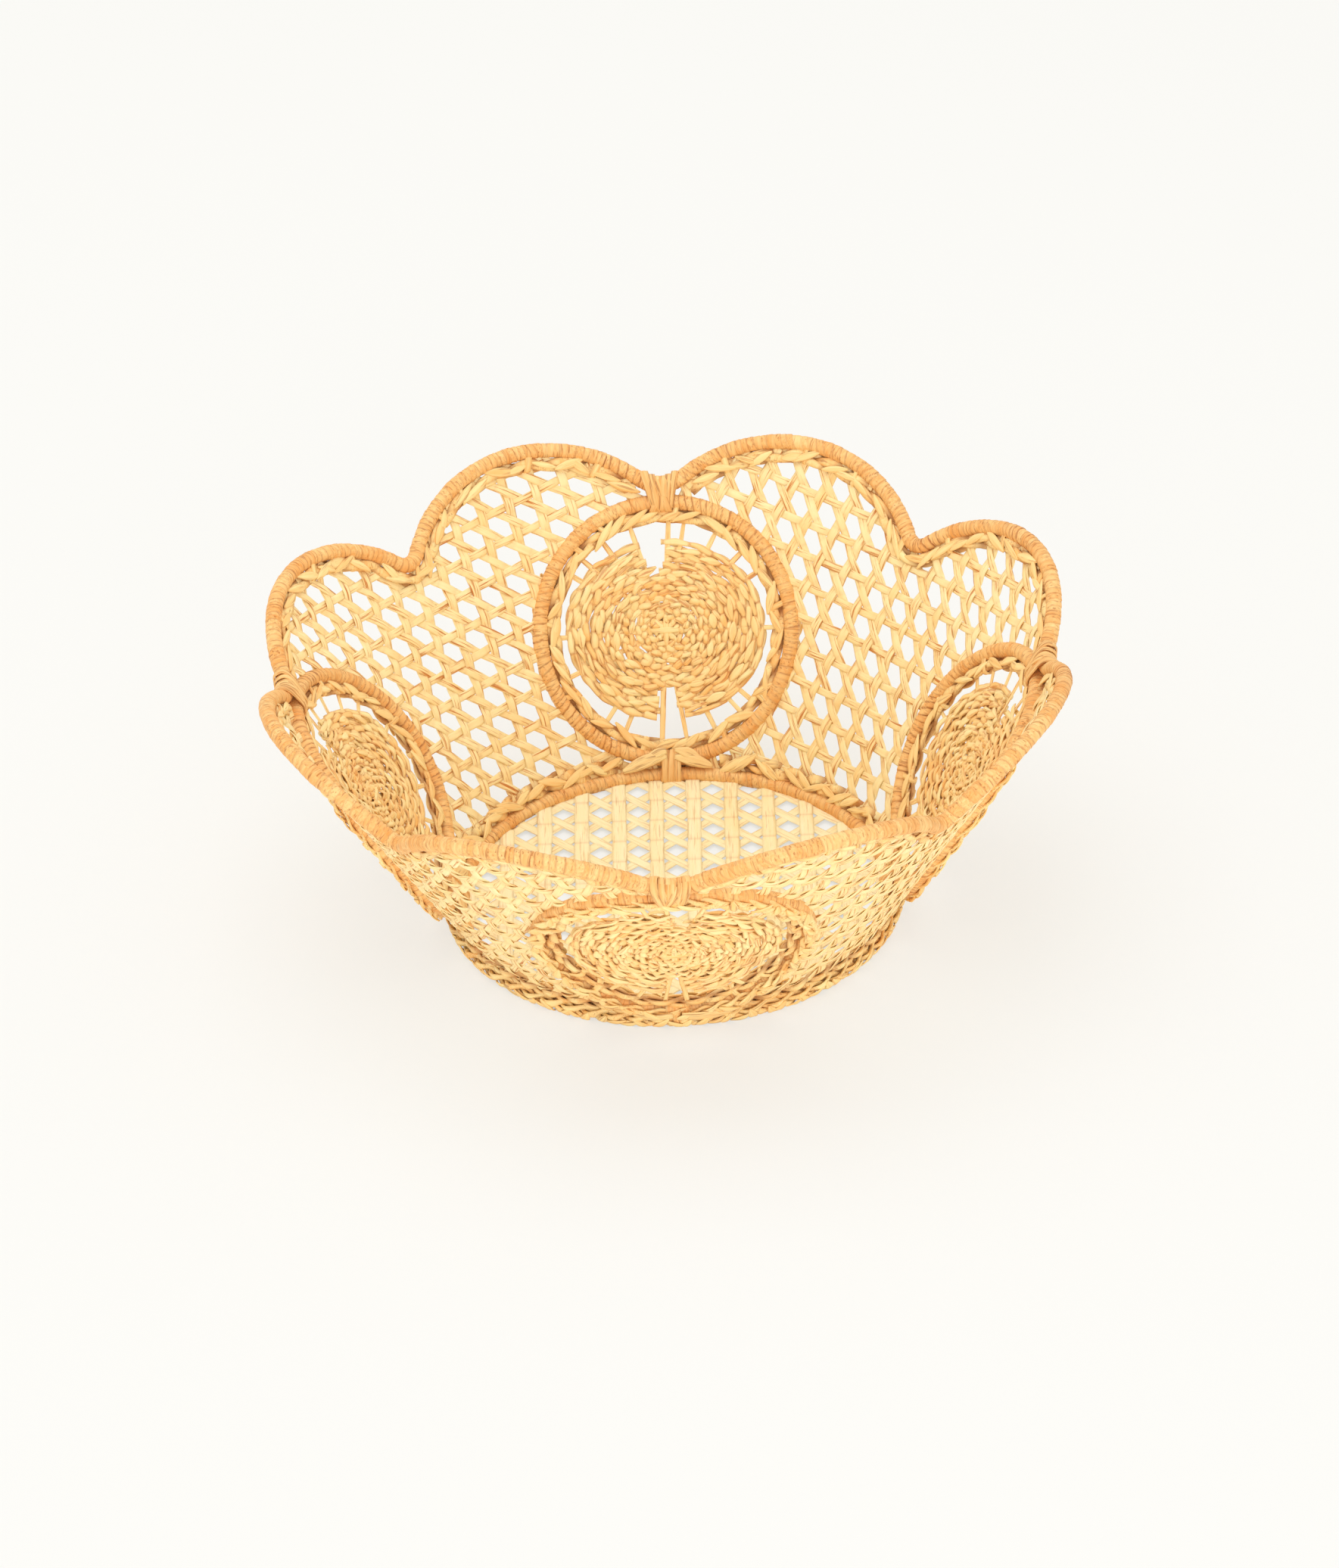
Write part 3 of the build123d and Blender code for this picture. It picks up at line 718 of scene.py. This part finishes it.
for number, (place, turn) in enumerate(side_turns.items()):
    rng = np.random.default_rng(40 + number)
    patches = plait_patches(ring_plait_line, turn, ring_plait_sizes, rng)
    patches += plait_patches(ring_cover_line, turn, ring_cover_sizes, rng, ring_cover_lift, outer_shade)
    patches += tie_patches(ring_plait_line, turn, -1, rng)
    patches += tuft_patches(ring_cover_line, turn, *ring_cover_tufts, rng)
    patches += tuft_patches(ring_plait_line, turn, *ring_tufts, rng)
    nodes = ["medallion_plait_" + place]
    add_piece("medallion_plaiting_" + place, patches, plait_finish, nodes)

# Wall nets: three sets of palm strips, along the wall, steeply up it and slanting, woven so that
# each passes over one of the others and under the third, with six-sided gaps left open.
# The strips run in under the plaits and end at rim, rings and hoop.
gap_pitch = 10.8
wall_row_pitch = 10.3
row_shift = 1.5
level_width = 2.9
steep_width = 3.5
slanted_width = 3.1
strip_thickness = 0.45
net_rise = 0.42
turning_shade = 0.16
lattice_half = 14
rim_margin = 2.2
ring_margin = 1.2
hoop_margin = 1.0
net_foot = hoop_reach + 7.05
wall_middle = ray((net_foot + quarter_dip) / 2, 0)
row_step = np.array([-row_shift, wall_row_pitch])
gap_step = np.array([gap_pitch, 0.0])


def on_net(x, y):
    """Whether flat spots lie on a panel's net: above the hoop, outside the rings and below the rim."""
    half_x = np.abs(x)
    angle = np.degrees(np.arctan2(half_x, y))
    from_ring = np.hypot(half_x - ring_centre[0], y - ring_centre[1])
    from_bend = np.hypot(half_x - quarter_bend[0], y - quarter_bend[1])
    from_scallop = np.hypot(half_x - scallop_centre[0], y - scallop_centre[1])
    over = np.degrees(np.arctan2(y - scallop_centre[1], half_x - scallop_centre[0]))
    below_scallop = from_scallop < scallop_radius - rim_margin
    below_dip = from_bend > quarter_dip_radius + rim_margin
    below_rim = np.where(over < out_of_quarter + 180, below_scallop, below_dip) | (over < 0)
    above_hoop = np.hypot(x, y) > hoop_reach + hoop_margin
    clear_of_ring = from_ring > medallion_radius + ring_margin
    return above_hoop & clear_of_ring & (angle < half_panel) & below_rim


def net_strips(rng):
    """The strips of one net: lines of the lattice, cut to the stretches that lie on the panel.

    Each set rides over or under by the cosine of its place in the lattice, with painted shade where it
    turns between the two."""
    reach = np.linspace(-lattice_half, lattice_half, 700)
    families = (
        (level_width, gap_step, row_step, -1.0),
        (steep_width, row_step, gap_step, 1.0),
        (slanted_width, row_step + gap_step, gap_step, -1.0),
    )
    strips = []
    for width, run_step, side_step, way in families:
        for offset in np.arange(-lattice_half, lattice_half) + 0.5:
            spots = wall_middle + reach[:, None] * run_step + offset * side_step
            kept = on_net(*spots.T)
            edges = np.flatnonzero(np.diff(np.concatenate([[0], kept.astype(int), [0]])))
            for start, end in zip(edges[::2], edges[1::2]):
                if end - start < least_points:
                    continue
                line = even_line(spots[start:end], net_step, False)
                lattice = np.linspace(reach[start], reach[end - 1], len(line[0]))
                ride = np.cos(2 * np.pi * lattice)
                wide = width * (1 + 0.07 * drawn_knots(line[2], 9.0, rng, False))
                # Painted shade where a strip turns from over to under.
                turning = np.clip(1 - 2.2 * np.abs(ride), 0, 1)
                strips.append((line, wide, way * net_rise * ride, turning_shade * turning[:, None]))
    return strips


wall_finish = palm_finish("net_palm", (255, 241, 186), (252, 210, 134), (198, 110, 26), 0.9)
for number, (panel, turn) in enumerate(panel_turns.items()):
    rng = np.random.default_rng(50 + number)
    patches = []
    for line, wide, level, painted_shade in net_strips(rng):
        tone = strip_seed(rng)
        wander = 0.16 * drawn_knots(line[2], 14.0, rng, False)[:, None]
        across, thick, along, side = ribbon(line, wide, strip_thickness, level)
        places = roll_up(*beside(line, across + wander), thick, turn)
        patches.append((places, tone, painted_shade, along + 60 * rng.random(), side, False, False))
    add_piece("wall_netting_" + panel, patches, wall_finish, ["wall_net_" + panel])

# Medallion weaves: spokes of palm from the middle of each ring to its plait, with rounds of twisted
# strip woven over and under them. The outer rounds turn back at a slit above and a slit below.
disc_width = 35.5
disc_height = 31.5
first_round = 3.4
round_pitch = 2.12
round_count = 15
disc_size = first_round + round_pitch * (round_count - 1) + 1.4
disc_squeeze = np.array([disc_width, disc_height]) / disc_size
# Radius above which a round has so many waves.
wave_counts = ((12.0, 12), (7.0, 8), (0.0, 5))
weft_width = 2.45
weft_thickness = 0.9
weave_rise = 0.8
grain_slant = 0.35
grain_wander = 0.38
level_jitter = 0.45
edge_shade = 0.22
dip_shade = 0.5
slit_foot = 20.5
slit_open = 1.9
slit_spread = 0.2
slit_ragged = 1.3
slit_bearing = 83.0
spoke_count = 24
spoke_width = 2.3
spoke_thickness = 0.7
spoke_start = 5.0
spoke_end = 39.4
spoke_bend = 4.0
knot_angles = (0, 90, 45, 135)
knot_length = 5.5
knot_width = 2.1
knot_thickness = 0.8
knot_lift = 1.25
knot_drop = 0.22
stray_rounds = (17.0, 23.5, 30.0)
stray_arcs = ((-75, 75), (105, 255))
stray_lift = 1.1
stray_spacing = 13.0
stray_leans = (0, 16)


def toward(angle):
    """A flat direction, by its angle from the right in degrees."""
    return np.array([np.cos(np.radians(angle)), np.sin(np.radians(angle))])


def weft(radius, number, rng):
    """One round of weaving: two lens-shaped strands that twine about each other from spoke to spoke.

    Each rides up and down as the sine of its angle, half a wave apart from the other. It swells over
    a spoke, narrows where it dips, and drifts across by the cosine, so its humps lie aslant.
    Rounds start a quarter wave apart and slant to and fro, so humps lie as bricks and herringbones do."""
    waves = next(count for least, count in wave_counts if radius > least)
    step = float(np.clip(0.3 * radius / waves, 0.3, 0.6))
    stretches = [(-90.0, 269.0, True)]
    if radius > slit_foot:
        slit = np.degrees((slit_open + slit_spread * (radius - slit_foot)) / radius)
        ragged = rng.uniform(-1, 1, 4) * np.degrees(slit_ragged / radius)
        stretches = [
            (-90 + slit + ragged[0], slit_bearing - slit - ragged[1], False),
            (slit_bearing + slit + ragged[2], 270 - slit - ragged[3], False),
        ]
    section = 2 * np.pi * (np.arange(8) + 0.5) / 8
    around = 2 * weft_width * np.arange(9) / 8
    made = []
    for start, end, closed in stretches:
        line = even_line(arc((0, 0), radius, start, end) * disc_squeeze + ring_spot, step, closed)
        rows = len(line[0])
        centred = (line[0] - ring_spot) / disc_squeeze
        angle = np.arctan2(centred[:, 1], centred[:, 0])
        drift = 0.3 * drawn_knots(line[2], 16.0, rng, closed)[:rows]
        for strand in range(2):
            beat = waves * angle + np.pi * strand + np.pi / 2 * number + drift
            ride = np.sin(beat)
            jitter = drawn_knots(line[2], 4.0, rng, closed)[:rows]
            swell = drawn_knots(line[2], 5.0, rng, closed)[:rows]
            twist = grain_slant * (1 - 2 * (number % 2)) * np.cos(beat)
            wander = twist + grain_wander * drawn_knots(line[2], 6.0, rng, closed)[:rows]
            level = weave_rise * ride * (1 + level_jitter * jitter)
            fat = 0.66 + 0.3 * np.abs(ride) ** 0.7 + 0.16 * swell
            # Each hump's tone is scattered by the far digits of a sine.
            hump = np.floor(beat / np.pi)
            tone = np.mod(np.sin(hump * 12.9898 + number * 78.233) * 43758.5453, 1.0)
            across = wander[:, None] + fat[:, None] * weft_width / 2 * np.cos(section)
            lift = level[:, None] + weft_thickness / 2 * np.sin(section)
            # Painted shade at the edges of each strand and where it dips between the others.
            edge = edge_shade * np.clip(np.abs(np.cos(section)) * 4 - 3, 0, 1)
            painted_shade = np.maximum(dip_shade * np.clip(1 - 4 * np.abs(ride), 0, 1)[:, None], edge)
            made.append((line, across, lift, tone[:, None], painted_shade, around, closed))
    return made


def spokes(rng):
    """Strips from the middle outward, slim where they leave the weaving, fewer at the two sides."""
    made = []
    for number in range(spoke_count):
        angle = 360 / spoke_count * (number + (0.5 if number > spoke_count / 2 else 0.0))
        bend = angle + rng.uniform(-spoke_bend, spoke_bend)
        if abs(np.cos(np.radians(angle))) > 0.75 and number % 2:
            continue
        ends = np.stack([spoke_start * toward(angle), spoke_end * toward(bend)])
        line = even_line(ends + ring_spot, 1.2, False)
        share = np.linspace(0, 1, len(line[0]))
        uneven = 1 + 0.1 * drawn_knots(line[2], 5.0, rng, False)
        made.append((line, spoke_width * (1 - 0.25 * share) * uneven))
    return made


weave_finish = palm_finish("woven_palm", (255, 242, 182), (252, 190, 104), (190, 88, 12), 0.6)
for number, (place, turn) in enumerate(side_turns.items()):
    rng = np.random.default_rng(60 + number)
    patches = []
    for step in range(round_count):
        radius = first_round + round_pitch * step
        for line, across, lift, tone, painted_shade, around, closed in weft(radius, step, rng):
            places = roll_up(*beside(line, across), lift, turn)
            patches.append((places, tone, painted_shade, line[2] + 30 * step, around, closed, False))
    for line, wide in spokes(rng):
        patches.append(strip_patch(line, wide, spoke_thickness, 0.0, strip_seed(rng), turn))
    for step, angle in enumerate(knot_angles):
        way = toward(angle)
        line = even_line(np.stack([-way, way]) * knot_length + ring_spot, 0.6, False)
        share = np.linspace(-1, 1, len(line[0]))
        wide = knot_width * (1 - 0.4 * share**2)
        for face in (-1, 1):
            level = face * (knot_lift - knot_drop * step) * (1 - 0.85 * share**4)
            patches.append(strip_patch(line, wide, knot_thickness, level, strip_seed(rng), turn))
    for radius in stray_rounds:
        for start, end in stray_arcs:
            line = even_line(arc((0, 0), radius, start, end) * disc_squeeze + ring_spot, 0.6, False)
            for face in (-1, 1):
                stray = (face * stray_lift, stray_spacing, stray_leans, short_tuft)
                patches += tuft_patches(line, turn, *stray, rng)
    nodes = ["medallion_weave_" + place]
    add_piece("medallion_weaving_" + place, patches, weave_finish, nodes)

# Lashings: palm strip wound several times round a ring and what it stands against.
# One band ties the ring's top to the rim, and one ties its foot to the hoop, with ends that fan out.
lashing_strip = 2.7
lashing_thickness = 0.7
lashing_depth = 3.3
lashing_slack = 0.5
top_turns = 1.5 * (np.arange(6) - 2.5)
top_slack = 0.3
top_fan = 0.45
top_spread = 0.15
crossing_slants = (-2.6, 2.2)
crossing_slack = 0.9
bottom_turns = 2.3 * (np.arange(3) - 1)
leaf_width = 4.4
leaf_thickness = 0.8
leaf_start = 1.5
leaf_length = 13.5
# Height above the hoop at which the lower and the upper leaf leave the band, and where they end.
leaf_roots = (6.4, 8.6)
leaf_tips = (2.4, 4.8)


def lashed_turn(side, span, slant, turn, rng):
    """The patch of one turn of a lashing, at a place to the side of a medallion's middle line."""
    depth = lashing_depth + rng.uniform(-0.1, 0.35)
    width = lashing_strip * rng.uniform(0.85, 1.2)
    depths = (depth, depth)
    looped = strip_loop((side, 0.0), (0.0, 1.0), span, depths, slant, width, lashing_thickness, 48)
    tone = 0.75 + 0.25 * strip_seed(rng)
    return roll_up(*looped[:3], turn), tone, 0.0, *looped[3:], True, False


def fan_leaf(face, way, strand, turn, rng):
    """The patch of a leaf-shaped end that runs out beside a bottom lashing and droops to its tip.

    Its height falls by a power of its run, its width and its bow off the wall follow a sine."""
    share = np.linspace(0, 1, 30)
    x = way * (leaf_start + (leaf_length - 3.0 * strand + rng.uniform(-3, 3.5)) * share)
    root = hoop_reach + leaf_roots[strand]
    tip = hoop_reach + leaf_tips[strand] + rng.uniform(-1.4, 1.6)
    y = root + (tip - root) * share**1.4 + rng.uniform(-0.4, 0.4)
    line = even_line(np.stack([x, y], 1), 0.8, False)
    share = np.linspace(0, 1, len(line[0]))
    leaf = np.sin(np.pi * (0.14 + 0.76 * share))
    uneven = 1.15 - 0.3 * strand + 0.12 * drawn_knots(line[2], 6.0, rng, False)
    level = face * (lashing_depth + 0.15 * strand + 0.5 * leaf - 0.9 * share**2)
    tone = 0.2 * strip_seed(rng)
    return strip_patch(line, leaf_width * leaf * uneven, leaf_thickness, level, tone, turn)


lashing_finish = palm_finish("lashed_palm", (255, 234, 170), (237, 158, 72), (146, 64, 8), 0.6)
for number, (place, turn) in enumerate(side_turns.items()):
    rng = np.random.default_rng(70 + number)
    top_patches, bottom_patches = [], []
    for side in top_turns:
        slant = top_fan * side + rng.uniform(-0.4, 0.4)
        rim_rise = medallion_dip_radius - np.sqrt(medallion_dip_radius**2 - (side + slant) ** 2)
        ring_fall = medallion_radius - np.sqrt(medallion_radius**2 - side**2)
        low = ring_reach + medallion_radius - ring_fall - tube_radius - lashing_slack
        high = medallion_dip + rim_rise + tube_radius + top_slack + top_spread * abs(side)
        top_patches.append(lashed_turn(side, (low, high), slant, turn, rng))
    for slant in crossing_slants:
        low = ring_reach + medallion_radius - tube_radius - crossing_slack
        high = medallion_dip + tube_radius + top_slack
        top_patches.append(lashed_turn(-0.2 * slant, (low, high), slant, turn, rng))
    for side in bottom_turns:
        low = hoop_reach - tube_radius - lashing_slack
        high = ring_reach - medallion_radius + tube_radius + lashing_slack
        bottom_patches.append(lashed_turn(side, (low, high), rng.uniform(-0.6, 0.6), turn, rng))
    for face in (-1, 1):
        for way in (-1, 1):
            bottom_patches += [fan_leaf(face, way, strand, turn, rng) for strand in range(2)]
    for end, patches in (("top", top_patches), ("bottom", bottom_patches)):
        nodes = [end + "_lashing_" + place]
        add_piece(end + "_lashed_" + place, patches, lashing_finish, nodes)

# Studio: a wide pale floor and soft even light from a large panel above, one in front and all round.
# The floor keeps the basket's own faint shadow.
floor_half = 6.0
floor_glow = 0.68


def seen_rays(dye):
    """1 for what the camera sees straight, in a reflection or through glass, and 0 for other light."""
    camera_ray = dye.node("ShaderNodeLightPath", {}, {}, "Is Camera Ray")
    seen = camera_ray + camera_ray.outlet("Is Glossy Ray") + camera_ray.outlet("Is Transmission Ray")
    return seen.between(0.0, 1.0)


floor_finish, dye = new_finish("pale_floor")
place = dye.node("ShaderNodeTexCoord", {}, {}, "Object")
speck = dye.noise(place, 3.0, 2.0)
floor_colour = speck.blend(screen(249, 248, 246), screen(251, 250, 248))
floor_lit = dye.node("ShaderNodeBsdfPrincipled", {}, {"Base Color": floor_colour, "Roughness": 0.9})
floor_plain = dye.node("ShaderNodeEmission", {}, {"Color": screen(244, 244, 240), "Strength": 1.0})
floor_share = floor_glow * seen_rays(dye)
floor_blend = dye.node("ShaderNodeMixShader", {}, {0: floor_share, 1: floor_lit, 2: floor_plain})
dye.node("ShaderNodeOutputMaterial", {}, {0: floor_blend})
floor_mesh = bpy.data.meshes.new("floor")
floor_corners = floor_half * np.array([(-1, -1, 0), (1, -1, 0), (1, 1, 0), (-1, 1, 0)])
floor_mesh.from_pydata(floor_corners.tolist(), [], [(0, 1, 2, 3)])
floor_mesh.materials.append(floor_finish)
floor = bpy.data.objects.new("floor", floor_mesh)
bpy.context.scene.collection.objects.link(floor)

world = bpy.data.worlds.new("studio")
world.use_nodes = True
world.node_tree.nodes.clear()
dye = Dye(world.node_tree)
backdrop = dye.node("ShaderNodeBackground", {}, {"Color": screen(251, 250, 245), "Strength": 1.0})
ambient = dye.node("ShaderNodeBackground", {}, {"Color": screen(255, 253, 250), "Strength": 0.93})
sky = dye.node("ShaderNodeMixShader", {}, {0: seen_rays(dye), 1: ambient, 2: backdrop})
dye.node("ShaderNodeOutputWorld", {}, {0: sky})
bpy.context.scene.world = world


def set_up(name, data, right, back, spot):
    """Put a lamp or a camera at a spot, with its right side and its back in these directions."""
    holder = bpy.data.objects.new(name, data)
    stand = np.eye(4)
    stand[:3, :3] = np.stack([right, np.cross(back, right), back], 1)
    stand[:3, 3] = spot
    bpy.context.scene.collection.objects.link(holder)
    holder.matrix_world = Matrix(stand.tolist())
    return holder


def soft_panel(name, spot, aim, size, power):
    """A square lamp of a size, at a spot, that faces an aim."""
    lamp = bpy.data.lights.new(name, "AREA")
    lamp.shape = "SQUARE"
    lamp.size = size
    lamp.energy = power
    back = np.array(spot, float) - np.array(aim, float)
    back /= np.linalg.norm(back)
    right = np.cross((0.0, 1.0, 0.0) if abs(back[2]) > 0.9 else (0.0, 0.0, 1.0), back)
    right /= np.linalg.norm(right)
    set_up(name, lamp, right, back, spot)


soft_panel("overhead_panel", (-0.25, 0.25, 1.6), (0, 0, 0.05), 1.2, 6.5)
soft_panel("front_panel", (0.2, -1.4, 0.32), (0, 0, 0.03), 1.0, 7.0)

# Camera: a long lens, a third of the way up, that looks down into the basket from the front.
# It is turned a little about its own axis, as the photograph is.
azimuth, elevation, roll = np.radians((0.53, 32.92, -2.43))
distance = 2.161
target = np.array([-0.000155, 0.0, 0.04565])
image_height = 2072
focal_pixels = 8510.2
level_back = np.array([np.sin(azimuth), -np.cos(azimuth), 0.0])
back = np.cos(elevation) * level_back + np.sin(elevation) * np.array([0.0, 0.0, 1.0])
right = np.array([np.cos(azimuth), np.sin(azimuth), 0.0])
rolled = np.cos(roll) * right + np.sin(roll) * np.cross(back, right)
camera_data = bpy.data.cameras.new("camera")
camera_data.sensor_fit = "VERTICAL"
camera_data.sensor_height = 36.0
camera_data.lens = focal_pixels / image_height * camera_data.sensor_height
camera_data.clip_end = 50.0
camera_spot = target + back * distance
bpy.context.scene.camera = set_up("camera", camera_data, rolled, back, camera_spot)
bpy.context.scene.view_settings.view_transform = "Standard"
